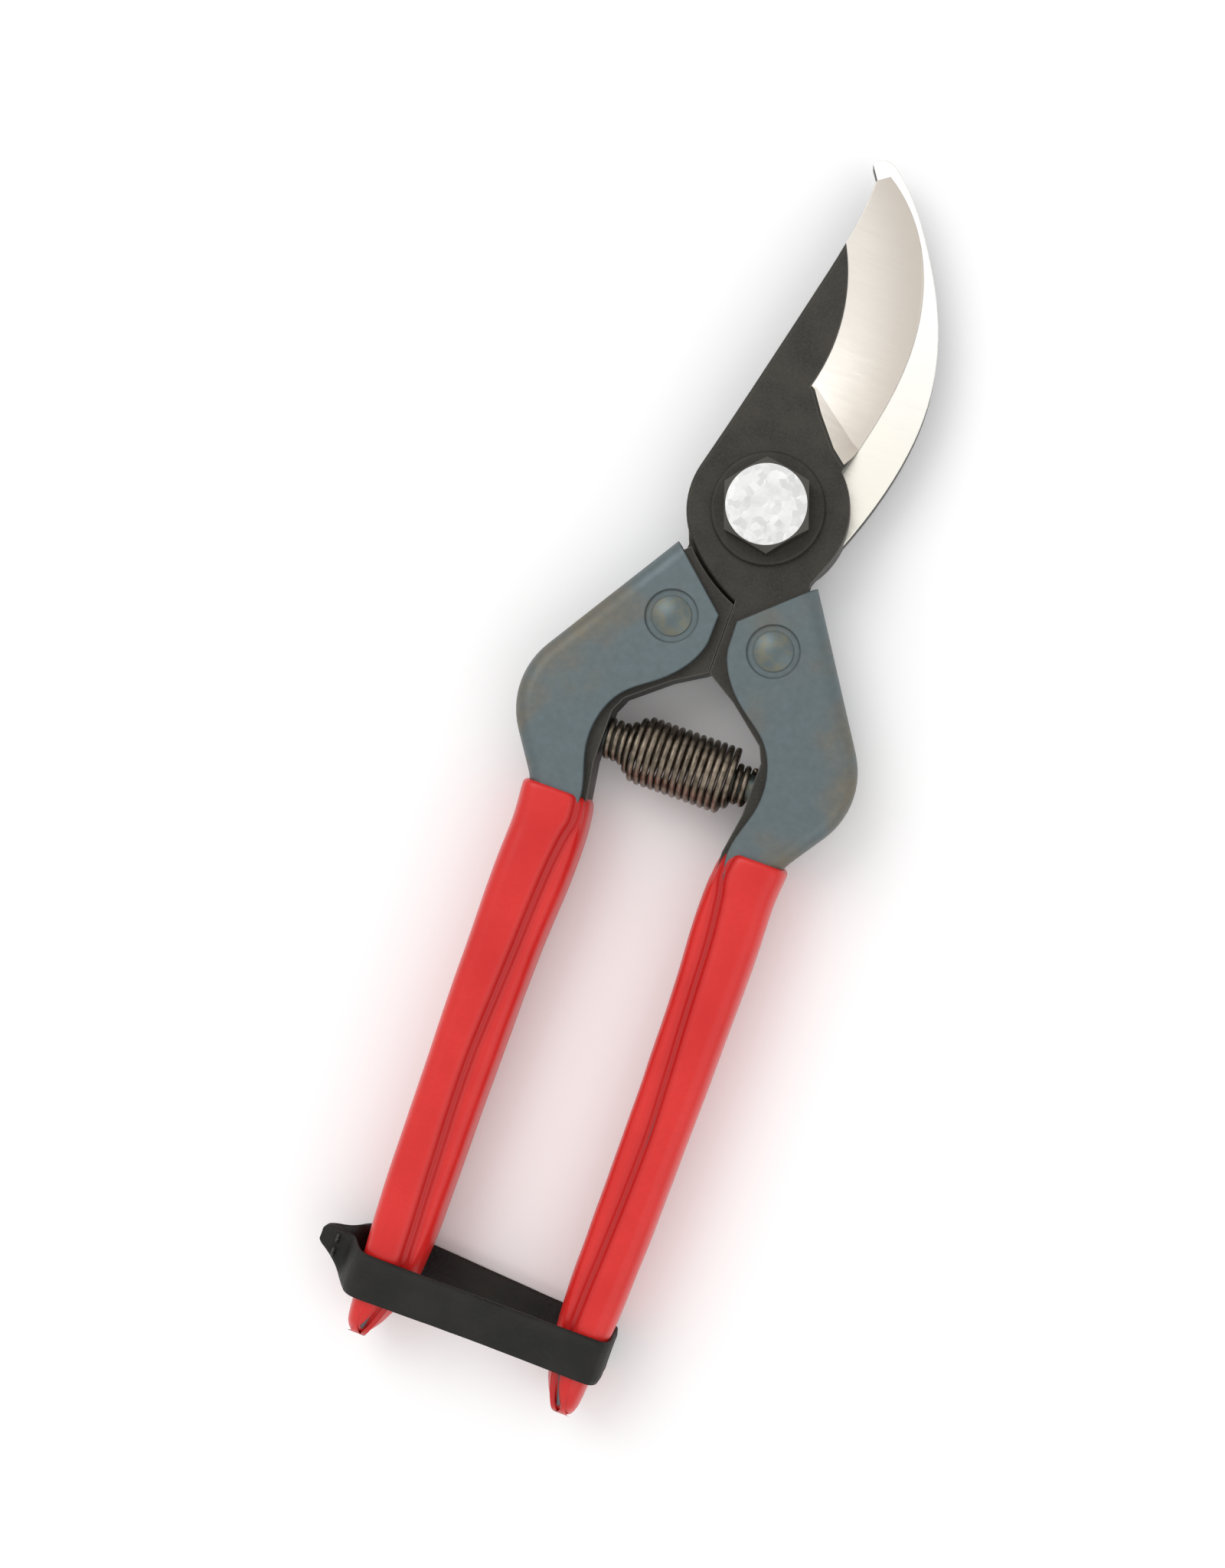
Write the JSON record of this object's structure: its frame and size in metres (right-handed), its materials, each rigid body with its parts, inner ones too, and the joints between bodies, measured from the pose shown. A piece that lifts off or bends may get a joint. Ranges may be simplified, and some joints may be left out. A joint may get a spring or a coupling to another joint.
{
  "type": "pruning shears",
  "caption": "Bypass pruning shears with a curved blade and hook, pressed steel handles in red grips, a barrel return spring and a strap that holds them shut.",
  "frame": {"origin": "on the pivot axis, at the back end of the pivot bolt and nut, on which the shears rest", "axes": "+Y from the pivot to the blade tips, +X to the cutting edge's side, +Z from the back of the shears to the bolt head"},
  "size_m": [0.0554, 0.1997, 0.0182],
  "materials": {
    "forged_black": "oil-blackened forged steel with a ground and polished bevel",
    "forged_hook": "oil-blackened forged steel with a polished inner face",
    "zinc": "bright zinc plate",
    "dark_washer": "blackened",
    "handle_steel": "heat-tinted blue grey",
    "rivet_steel": "heat-tinted",
    "red_vinyl": "dipped soft vinyl, glossy",
    "spring_wire": "tempered, bronze-black",
    "strap_leather": "dark, dull",
    "thread": "waxed thread"
  },
  "bodies": {
    "hook_lever": {"hook_blade": "forged_hook", "pivot_bolt": "zinc", "front_washer": "dark_washer", "lock_washer": "dark_washer", "pivot_nut": "zinc", "left_handle": "handle_steel", "left_rivet": "rivet_steel", "left_grip": "red_vinyl", "left_spring_stud": "rivet_steel", "return_spring": "spring_wire"},
    "blade_lever": {"cutting_blade": "forged_black", "right_handle": "handle_steel", "right_rivet": "rivet_steel", "right_grip": "red_vinyl", "right_spring_stud": "rivet_steel"},
    "strap": {"strap": "strap_leather", "strap_stitching": "thread"}
  },
  "joints": [
    {"name": "pivot", "type": "hinge", "parent": "hook_lever", "child": "blade_lever", "pos_m": [0, 0, 0.0084], "axis": [0, 0, 1], "range_deg": [0, 28], "deforming": ["return_spring"]},
    {"name": "strap_slide", "type": "slide", "parent": "hook_lever", "child": "strap", "axis": [0, -1, 0], "range_m": [0, 0.03], "deforming": ["strap", "strap_stitching"]}
  ],
  "couplings": [
    {"joint": "strap_slide", "follows": "pivot", "m_per_rad": 0.0613}
  ]
}
